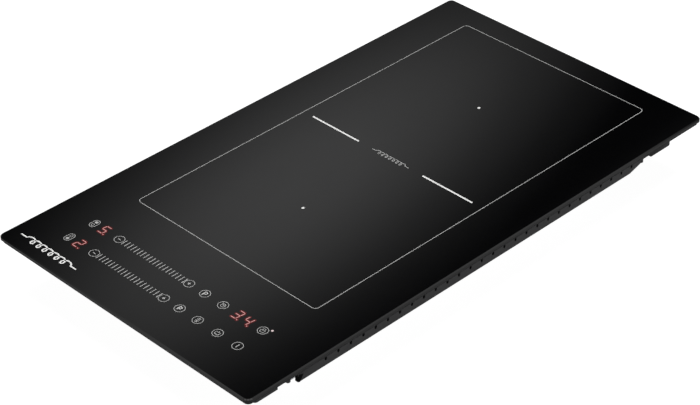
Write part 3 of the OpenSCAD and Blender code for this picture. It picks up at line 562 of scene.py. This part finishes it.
def plus_key(ink, x, y):
    """A ringed plus."""
    key_ring(ink, x, y)
    corner = [(-1.4, -0.4), (-0.4, -0.4), (-0.4, -1.4)]
    outline = []
    for _ in range(4):
        outline += corner
        corner = [(-b, a) for a, b in corner]
    ink.fill([(x + a, y + b) for a, b in outline])


def boost_sign(ink, x, y):
    """A capital P, for full power."""
    ink.stroke([(x - 1.2, y - 2.5), (x - 1.2, y + 2.4)], 0.6)
    top = [(x - 0.9, y + 2.1), (x + 0.1, y + 2.1)]
    bowl = arc(x + 0.1, y + 0.85, 1.25, 80, -80, 10)
    ink.stroke([*top, *bowl, (x + 0.1, y - 0.4), (x - 0.8, y - 0.4)], 0.55)


def timer_key(ink, x, y):
    """A ringed clock with its hand."""
    key_ring(ink, x, y)
    ink.stroke(arc(x + 0.3, y - 0.2, 2.0, 125, -200, 24), 0.48)
    ink.stroke([(x - 2.3, y + 2.1), (x + 0.3, y - 0.1), (x + 1.4, y + 0.8)], 0.48)


def lock_key(ink, x, y):
    """A ringed padlock."""
    key_ring(ink, x, y)
    ink.stroke(round_rect(x - 1.9, y - 2.2, x + 1.9, y + 0.5, 0.4, 3), 0.42, closed=True)
    shackle = arc(x, y + 1.2, 1.2, 180, 0, 12)
    ink.stroke([(x - 1.2, y + 0.5), *shackle, (x + 1.2, y + 0.5)], 0.42)
    ink.fill(arc(x, y - 0.85, 0.3, steps=12))


def stack_key(ink, x, y):
    """A ringed stack of bars, for joining both zones."""
    key_ring(ink, x, y)
    low, step = y - 2.2, 1.45
    for i, half in enumerate((1.3, 1.5, 1.5, 1.3)):
        level = low + i * step
        ink.stroke([(x - half, level), (x + half, level)], 0.62)
    ink.stroke([(x, low), (x, low + step)], 1.1)


def warm_key(ink, x, y):
    """A ringed pan with its lid, for keeping warm."""
    key_ring(ink, x, y)
    pan = [(-2.1, 0.2), (-1.8, -1.8), (1.8, -1.8), (2.1, 0.2)]
    ink.stroke([(x + a, y + b) for a, b in pan], 0.6)
    ink.stroke([(x - 2.1, y + 1.0), (x + 2.1, y + 1.0)], 0.45)
    ink.stroke([(x - 0.5, y + 1.9), (x + 0.5, y + 1.9)], 0.6)


def power_key(ink, x, y):
    """A ringed upright bar."""
    key_ring(ink, x, y)
    ink.stroke([(x, y - 2.1), (x, y + 2.1)], 0.7)


def zone_pill(ink, x, y, lit):
    """Zone sign: two burners in an upright pill, the one in charge filled."""
    ink.stroke(round_rect(x - 3.0, y - 4.8, x + 3.0, y + 4.8, 2.9, 8), 0.5, closed=True)
    for i, side in enumerate((1, -1)):
        if i == lit:
            ink.fill(arc(x, y + side * 2.0, 1.5, steps=20))
        else:
            ink.stroke(arc(x, y + side * 2.0, 1.3, steps=20), 0.45, closed=True)


# Keys that both rows share, and those of each row from the rear one to the front one
SHARED_KEYS = [(minus_key, MINUS_X), (plus_key, PLUS_X), (key_ring, BOOST_X)]
ROW_KEYS = {
    "rear": [(timer_key, TIMER_KEY_X), (lock_key, POWER_X)],
    "front": [(stack_key, TIMER_KEY_X), (warm_key, WARM_X), (power_key, POWER_X)],
}


def row_y(row):
    """Height of a key row on the glass: its displays give its place."""
    if row == "rear":
        return (middle("timer_display")[1] - CENTRE_Y) / MM
    return (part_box("zone_displays")[0][1] - CENTRE_Y) / MM + ROW_DISPLAY_OFFSET


def print_keys():
    """Both rows of touch keys with their sliders."""
    signs = Ink()
    for i, (row, keys) in enumerate(ROW_KEYS.items()):
        y = row_y(row)
        boost_sign(signs, BOOST_X, y)
        ink = Ink()
        zone_pill(ink, PILL_X, y, i)
        for draw, x in SHARED_KEYS + keys:
            draw(ink, x, y)
        ink.finish(row + "_keys", "screen_print")
        ink = Ink()
        w, h = SLIDER_BAR
        for bar in range(SLIDER_BARS):
            x0, y0 = SLIDER_X + bar * SLIDER_PITCH - w / 2, y - h / 2
            ink.fill([(x0, y0), (x0 + w, y0), (x0 + w, y0 + h), (x0, y0 + h)])
        ink.finish(row + "_slider", "screen_print")
    signs.finish("boost_signs", "bold_print")


# ---- lit digits, in millimetres ----

DIGIT_W = 5.2
DIGIT_H = 9.4
DIGIT_SLANT = 0.12
SEGMENT_GAP = 0.5
SEGMENTS = {"2": "abged", "3": "abgcd", "4": "fgbc", "5": "afgcd"}
# Decimal point's place from the digit's lower right corner, and what it adds to half a stroke
POINT_AT = (1.3, -0.2)
POINT_R = 0.2
TIMER_DIGITS_X = (-5.6, 5.4)
# Layers of each lit figure, topmost first: suffix, stroke width, material, slot
LIT_LAYERS = [
    ("", 0.52, "lit_segment", "lit_segment"),
    ("_glow", 1.2, "segment_glow", "display_red"),
    ("_halo", 2.9, "segment_halo", "display_red"),
]
# Lamp by the lock key, and how far it sits behind the middle of its row
LOCK_LAMP_X = 98.2
LOCK_LAMP_RISE = 4.6
LOCK_LAMP_R = 1.0


def segment_ends(letter):
    """Ends of one of the seven segments, before the digit's slant."""
    w, h, gap = DIGIT_W / 2, DIGIT_H / 2, SEGMENT_GAP
    return {
        "a": ((-w + gap, h), (w - gap, h)),
        "g": ((-w + gap, 0), (w - gap, 0)),
        "d": ((-w + gap, -h), (w - gap, -h)),
        "f": ((-w, gap), (-w, h - gap)),
        "b": ((w, gap), (w, h - gap)),
        "e": ((-w, -h + gap), (-w, -gap)),
        "c": ((w, -h + gap), (w, -gap)),
    }[letter]


def segment_outline(x, y, letter, width):
    """Six-sided bar with pointed ends, leaning with the digit."""
    (ax, ay), (bx, by) = segment_ends(letter)
    along = Vector((bx - ax, by - ay)).normalized()
    side = Vector((-along.y, along.x)) * width / 2
    tip = along * width / 2
    a, b = Vector((ax, ay)), Vector((bx, by))
    points = [a - tip, a - side, b - side, b + tip, b + side, a + side]
    return [(x + p.x + DIGIT_SLANT * p.y, y + p.y) for p in points]


def lit_digit(layer, width, x, y, figure):
    """One seven-segment figure with its decimal point, in strokes of one width."""
    for letter in SEGMENTS[figure]:
        layer.fill(segment_outline(x, y, letter, width))
    point = (x + DIGIT_W / 2 + POINT_AT[0], y - DIGIT_H / 2 + POINT_AT[1])
    layer.fill(arc(*point, POINT_R + width / 2, steps=12))


def light_displays():
    """The glowing figures over each display, and the lamp by the lock key."""
    digit_x, timer_x = [(middle(n)[0] - CENTRE_X) / MM for n in ("zone_displays", "timer_display")]
    tens_x, units_x = [timer_x + x for x in TIMER_DIGITS_X]
    groups = {
        "rear_power_digit": [(digit_x, row_y("rear"), "5")],
        "front_power_digit": [(digit_x, row_y("front"), "2")],
        "timer_digits": [(tens_x, row_y("rear"), "3"), (units_x, row_y("rear"), "4")],
    }
    for name, figures in groups.items():
        for i, (suffix, width, material, slot) in enumerate(LIT_LAYERS):
            layer = Ink(height=INK_H * (len(LIT_LAYERS) - i) / len(LIT_LAYERS))
            for figure in figures:
                lit_digit(layer, width, *figure)
            layer.finish(name + suffix, material)
    lamp = Ink()
    lamp.fill(arc(LOCK_LAMP_X, row_y("rear") + LOCK_LAMP_RISE, LOCK_LAMP_R, steps=20))
    lamp.finish("lock_lamp", "lamp_glow")


# ---- underside details, in millimetres ----

BEAD_X = (-70.0, -35.0, 0.0, 35.0, 70.0)
BEAD_Y = (-8.0, 62.0)
BEAD_R = 4.0
PLATE_LOW = (16.0, -62.0)
PLATE_HIGH = (82.0, -26.0)
PLATE_R = 2.5
RIVET_IN = 3.5
# Each level of a shape against its height from the floor: insets of beads and plate, radii of rivets
BEAD_LEVELS = [(0.0, 0.02), (0.5, 0.0), (1.3, -0.55), (2.1, -0.9), (3.0, -1.0)]
PLATE_LEVELS = [(0.0, 0.0), (0.0, -0.25), (0.1, -0.35)]
RIVET_LEVELS = [(1.5, -0.3), (1.4, -0.6), (1.0, -0.85), (0.4, -0.95)]


def stepped_shape(mesh, levels):
    """Outlines of equal point counts, each at its height, joined in turn and capped at both ends."""
    rings = [[mesh.verts.new((x * MM, y * MM, z)) for x, y in outline] for outline, z in levels]
    for upper, lower in zip(rings, rings[1:]):
        for i in range(len(upper)):
            j = (i + 1) % len(upper)
            mesh.faces.new((upper[i], upper[j], lower[j], lower[i]))
    mesh.faces.new(rings[0])
    mesh.faces.new(reversed(rings[-1]))


def capsule(x, y0, y1, r):
    """Outline of a long bar with round ends, along y."""
    return arc(x, y1, r, 0, 180, 12) + arc(x, y0, r, 180, 360, 12)


def dress_underside():
    """Pressed stiffening beads in the lower tray's floor and a riveted plate with nothing on it."""
    floor_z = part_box("lower_tray")[0][2]
    beads = bmesh.new()
    for x in BEAD_X:
        stepped_shape(beads, [
            (capsule(x, *BEAD_Y, BEAD_R - inset), floor_z + z * MM) for inset, z in BEAD_LEVELS
        ])
    make_piece("floor_beads", beads, "zinc_sheet", ROOT, smooth=True)
    plate = bmesh.new()
    (x0, y0), (x1, y1) = PLATE_LOW, PLATE_HIGH
    stepped_shape(plate, [
        (round_rect(x0 + i, y0 + i, x1 - i, y1 - i, PLATE_R - i), floor_z + z * MM)
        for i, z in PLATE_LEVELS
    ])
    make_piece("blank_rating_plate", plate, "plate_silver", ROOT)
    rivets = bmesh.new()
    for x in (x0 + RIVET_IN, x1 - RIVET_IN):
        for y in (y0 + RIVET_IN, y1 - RIVET_IN):
            stepped_shape(rivets, [(arc(x, y, r, steps=20), floor_z + z * MM) for r, z in RIVET_LEVELS])
    make_piece("rating_plate_rivets", rivets, "aluminium_plain", ROOT, smooth=True)


# ---- near-black plugs of painted shade in the front ends of the tray's side rails, in millimetres ----

RAIL_W = 4
RAIL_R = 1.2
RAIL_FRONT = -200
RAIL_FLOOR = 30.6
SHADE_PLUG_PROUD = 0.12
SHADE_PLUG_DEEP = 8.0
SHADE_PLUG_TALL = 8.0
# The two slanted cuts, each between two points (y, z)
SHADE_PLUG_CUT = [((-197.9, RAIL_FLOOR), (-194.6, 36.0)), ((-194.6, 36.0), (-200.2, 37.6))]


def paint_rail_end_shade():
    """A near-black plug of painted shade in each rail end: the rail's own outline a hair proud, cut off
    at a slant.
    """
    tray_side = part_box("upper_tray")[1][0] / MM
    reach = (tray_side - RAIL_W - SHADE_PLUG_PROUD, tray_side + SHADE_PLUG_PROUD)
    front, rear = RAIL_FRONT - SHADE_PLUG_PROUD, RAIL_FRONT + SHADE_PLUG_DEEP
    for name, side in (("left", -1), ("right", 1)):
        x0, x1 = sorted(side * x for x in reach)
        outline = round_rect(x0, front, x1, rear, RAIL_R)
        plug = bmesh.new()
        stepped_shape(plug, [
            (outline, (RAIL_FLOOR + SHADE_PLUG_TALL) * MM), (outline, (RAIL_FLOOR - SHADE_PLUG_PROUD) * MM),
        ])
        for (y0, z0), (y1, z1) in SHADE_PLUG_CUT:
            cut = bmesh.ops.bisect_plane(
                plug, geom=plug.verts[:] + plug.edges[:] + plug.faces[:], clear_outer=True,
                plane_co=(0, y0 * MM, z0 * MM), plane_no=(0, z1 - z0, y0 - y1))
            edges = [part for part in cut["geom_cut"] if isinstance(part, bmesh.types.BMEdge)]
            bmesh.ops.contextual_create(plug, geom=edges)
        # Painted shade: a near-black plug where the rail end lies in shade
        make_piece("rail_end_painted_shade_" + name, plug, "painted_shade_black", ROOT)


# ---- springs that press the coils against the glass, in millimetres ----

SPRING_AT = 82.0
SPRING_R = 3.2
SPRING_WIRE = 0.5
SPRING_TURNS = 4.0
# Share of a turn that lies flat at each end
SPRING_CLOSED = 0.75
SPRING_STEPS = 20
WIRE_SIDES = 8


def wind_spring(mesh, x, y, z0, z1):
    """A round-wire compression spring with closed ends, between two heights in metres."""
    wire = SPRING_WIRE * MM
    rings = []
    for i in range(int(SPRING_TURNS * SPRING_STEPS) + 1):
        turned = i / SPRING_STEPS
        share = (turned - SPRING_CLOSED) / (SPRING_TURNS - 2 * SPRING_CLOSED)
        height = z0 + wire + (z1 - z0 - 2 * wire) * min(max(share, 0.0), 1.0)
        a = math.tau * turned
        ring = []
        for k in range(WIRE_SIDES):
            b = math.tau * k / WIRE_SIDES
            r = SPRING_R * MM + wire * math.cos(b)
            place = (x + r * math.cos(a), y + r * math.sin(a), height + wire * math.sin(b))
            ring.append(mesh.verts.new(place))
        rings.append(ring)
    for first, second in zip(rings, rings[1:]):
        for k in range(WIRE_SIDES):
            m = (k + 1) % WIRE_SIDES
            mesh.faces.new((first[k], first[m], second[m], second[k]))
    mesh.faces.new(rings[0])
    mesh.faces.new(reversed(rings[-1]))


def make_coil_springs():
    """Wound springs in place of the plain CAD ones, which are hidden."""
    for zone in ("front", "rear"):
        node = zone + "_coil_springs"
        low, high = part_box(node)
        x, y, _ = middle(node)
        mesh = bmesh.new()
        for spot_x, spot_y in arc(x, y, SPRING_AT * MM, 45, 405, steps=4):
            wind_spring(mesh, spot_x, spot_y, low[2], high[2])
        springs = make_piece(node + "_wound", mesh, "spring_steel", ROOT, smooth=True)
        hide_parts(node)
        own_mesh(springs)


# ---- studio, in metres and degrees ----

# Lens and sensor in millimetres; the aim is on the glass, from its centre
CAMERA_LENS = 114.28
CAMERA_SENSOR = 36.0
CAMERA_AZIMUTH = 45.57
CAMERA_ELEVATION = 34.84
CAMERA_ROLL = -0.69
CAMERA_DISTANCE = 1.7788
CAMERA_AIM = (0.02142, -0.03575)

FLOOR_HALF = 12.0
FLOOR_GREY = (0.15, 0.15, 0.15, 1)
FLOOR_GLOW = 0.97
# Gap under the feet, in millimetres
FLOOR_DROP = 0.2

# Area lights: name, place, point they face, side, power
SOFT_LIGHTS = [
    ("overhead", (0.0, 0.0, 3.2), (0, 0, 0), 2.0, 110),
    ("front_left", (-2.2, -2.4, 1.9), (0, 0, 0.03), 1.6, 12),
    ("right_fill", (2.6, 0.6, 1.2), (0, 0, 0.03), 1.4, 8),
]
# Surround's brightness against height, from straight down at 0 to straight up at 1
SURROUND = [
    (0.0, 0.37), (0.49, 0.37), (0.53, 0.45), (0.64, 0.2),
    (0.7, 0.022), (0.86, 0.022), (0.93, 0.12), (1.0, 0.2),
]
# Cards that the chamfers mirror: name, way the chamfer faces in degrees from the front, size, power
CHAMFER_CARDS = [
    ("front_softbox", 0.0, (0.8, 0.42), 1.0),
    ("corner_softbox_front", 22.5, (0.85, 0.85), 1.6),
    ("corner_softbox_middle", 45.0, (0.85, 0.85), 1.6),
    ("corner_softbox_right", 67.5, (0.85, 0.85), 1.6),
    ("rear_softbox", 90.0, (0.8, 0.42), 0.85),
]
CARD_REACH = 2.2
# The card that the flat glass mirrors: its spot from the glass centre, distance, size and turn
GLOW_SPOT = (-0.023, -0.066)
GLOW_REACH = 1.6
GLOW_SIZE = (0.252, 0.72)
GLOW_TURN = 57.0
# Brightness of a card from its rim at 0 to its middle at 1
SOFT_RIM = [(0.0, 0.0), (0.3, 0.9), (0.5, 1.0)]
GLOW_FADE = [(0.0, 0.0), (0.2, 0.07), (0.4, 0.21), (0.6, 0.415), (0.8, 0.583), (1.0, 0.637)]


def greys(stops):
    """Colour stops from (position, brightness) ones."""
    return [(position, (value, value, value)) for position, value in stops]


def facing(direction):
    """Rotation that turns an object's -Z towards a direction."""
    return Vector(direction).to_track_quat("-Z", "Y").to_euler()


def rolled(rotation, degrees):
    """A rotation after a turn about the object's own Z."""
    return (rotation.to_matrix() @ Matrix.Rotation(math.radians(degrees), 3, "Z")).to_euler()


def square(half, z=0.0):
    """A level square, as a bmesh."""
    mesh = bmesh.new()
    corners = ((-half, -half), (half, -half), (half, half), (-half, half))
    mesh.faces.new([mesh.verts.new((x, y, z)) for x, y in corners])
    return mesh


def camera_aim():
    """Point on the glass that the camera looks at."""
    return Vector((CENTRE_X + CAMERA_AIM[0], CENTRE_Y + CAMERA_AIM[1], GLASS_TOP))


def camera_place():
    """Where the camera stands."""
    azimuth = math.radians(CAMERA_AZIMUTH)
    elevation = math.radians(CAMERA_ELEVATION)
    out = math.cos(elevation)
    back = Vector((math.sin(azimuth) * out, -math.cos(azimuth) * out, math.sin(elevation)))
    return camera_aim() + back * CAMERA_DISTANCE


def fading_light(name, strength, fade):
    """White light that fades from the middle of a card to its rim."""
    material = bpy.data.materials.new(name)
    material.use_nodes = True
    tree = material.node_tree
    tree.nodes.clear()
    glow = add(tree, "ShaderNodeEmission", Strength=strength)
    output = add(tree, "ShaderNodeOutputMaterial")
    coords = add(tree, "ShaderNodeTexCoord")
    gradient = add(tree, "ShaderNodeTexGradient", gradient_type="SPHERICAL")
    tree.links.new(coords.outputs["Object"], gradient.inputs["Vector"])
    tree.links.new(ramp(tree, gradient.outputs["Fac"], greys(fade)), glow.inputs["Color"])
    tree.links.new(glow.outputs[0], output.inputs["Surface"])
    return material


def floor_paper():
    """Pale glowing paper, clear from below."""
    material, tree, shader = new_material("floor_paper")
    shader.inputs["Base Color"].default_value = FLOOR_GREY
    shader.inputs["Roughness"].default_value = 0.9
    shader.inputs["Specular IOR Level"].default_value = 0.1
    shader.inputs["Emission Color"].default_value = (1, 1, 1, 1)
    shader.inputs["Emission Strength"].default_value = FLOOR_GLOW
    sides = add(tree, "ShaderNodeMixShader")
    geometry = add(tree, "ShaderNodeNewGeometry")
    clear = add(tree, "ShaderNodeBsdfTransparent")
    tree.links.new(geometry.outputs["Backfacing"], sides.inputs[0])
    tree.links.new(shader.outputs[0], sides.inputs[1])
    tree.links.new(clear.outputs[0], sides.inputs[2])
    tree.links.new(sides.outputs[0], tree.nodes["Material Output"].inputs["Surface"])
    return material


def make_floor():
    """A wide pale floor just under the feet, which nothing mirrors."""
    level = CAD_BOX[0][2] - FLOOR_DROP * MM
    floor = mesh_object("studio_floor", square(FLOOR_HALF, level), floor_paper())
    floor.visible_glossy = False


def make_world():
    """Dim surround: brightest just above the horizon, dark where the glass mirrors it to the camera."""
    world = bpy.data.worlds.new("studio_surround")
    bpy.context.scene.world = world
    world.use_nodes = True
    tree = world.node_tree
    coords = add(tree, "ShaderNodeTexCoord")
    parts = add(tree, "ShaderNodeSeparateXYZ")
    tree.links.new(coords.outputs["Generated"], parts.inputs[0])
    height = span(tree, parts.outputs["Z"], -1.0, 1.0, 0.0, 1.0)
    tree.links.new(ramp(tree, height, greys(SURROUND)), tree.nodes["Background"].inputs["Color"])


def make_soft_lights():
    """Even light from above with soft fill from two sides, which the glass doesn't mirror."""
    for name, place, target, side, power in SOFT_LIGHTS:
        data = bpy.data.lights.new(name, "AREA")
        data.size = side
        data.energy = power
        light = place_object(name, data)
        light.location = place
        light.rotation_euler = facing(Vector(target) - Vector(place))
        light.visible_glossy = False


def light_card(name, scale, place, direction, material):
    """A flat card facing a direction, two units wide before its scale, that only reflections show."""
    card = mesh_object(name, square(1), material)
    card.location = place
    card.rotation_euler = facing(direction)
    card.scale = (*scale, 1.0)
    card.visible_camera = False
    card.visible_diffuse = False
    card.visible_shadow = False
    return card


def make_chamfer_cards():
    """One card where the camera sees each part of the glass's chamfer mirror to."""
    ray = (Vector((0, 0, GLASS_TOP)) - camera_place()).normalized()
    for name, turn, size, strength in CHAMFER_CARDS:
        a = math.radians(turn)
        chamfer = Vector((math.sin(a), -math.cos(a), 1)).normalized()
        mirrored = ray - 2 * ray.dot(chamfer) * chamfer
        glow = fading_light(name, strength, SOFT_RIM)
        light_card(name, size, mirrored * CARD_REACH, mirrored, glow)


def make_glow_card():
    """The soft card that gives the glass its glow."""
    spot = Vector((CENTRE_X + GLOW_SPOT[0], CENTRE_Y + GLOW_SPOT[1], GLASS_TOP))
    ray = (spot - camera_place()).normalized()
    mirrored = Vector((ray.x, ray.y, -ray.z))
    glow = fading_light("glow_card", 1.0, GLOW_FADE)
    card = light_card("glow_card", GLOW_SIZE, spot + mirrored * GLOW_REACH, mirrored, glow)
    card.rotation_euler = rolled(card.rotation_euler, GLOW_TURN)


def make_camera():
    """A long lens over the right front corner."""
    data = bpy.data.cameras.new("camera")
    data.lens = CAMERA_LENS
    data.sensor_width = CAMERA_SENSOR
    camera = place_object("camera", data)
    camera.location = camera_place()
    camera.rotation_euler = rolled(facing(camera_aim() - camera_place()), CAMERA_ROLL)
    bpy.context.scene.camera = camera


def main():
    """Dresses the CAD model, adds the drawn pieces and sets up the studio."""
    bpy.context.scene.view_settings.view_transform = "Standard"
    dress_cad_nodes()
    print_zone()
    print_marks()
    print_keys()
    light_displays()
    dress_underside()
    paint_rail_end_shade()
    make_coil_springs()
    make_floor()
    make_world()
    make_soft_lights()
    make_chamfer_cards()
    make_glow_card()
    make_camera()


main()
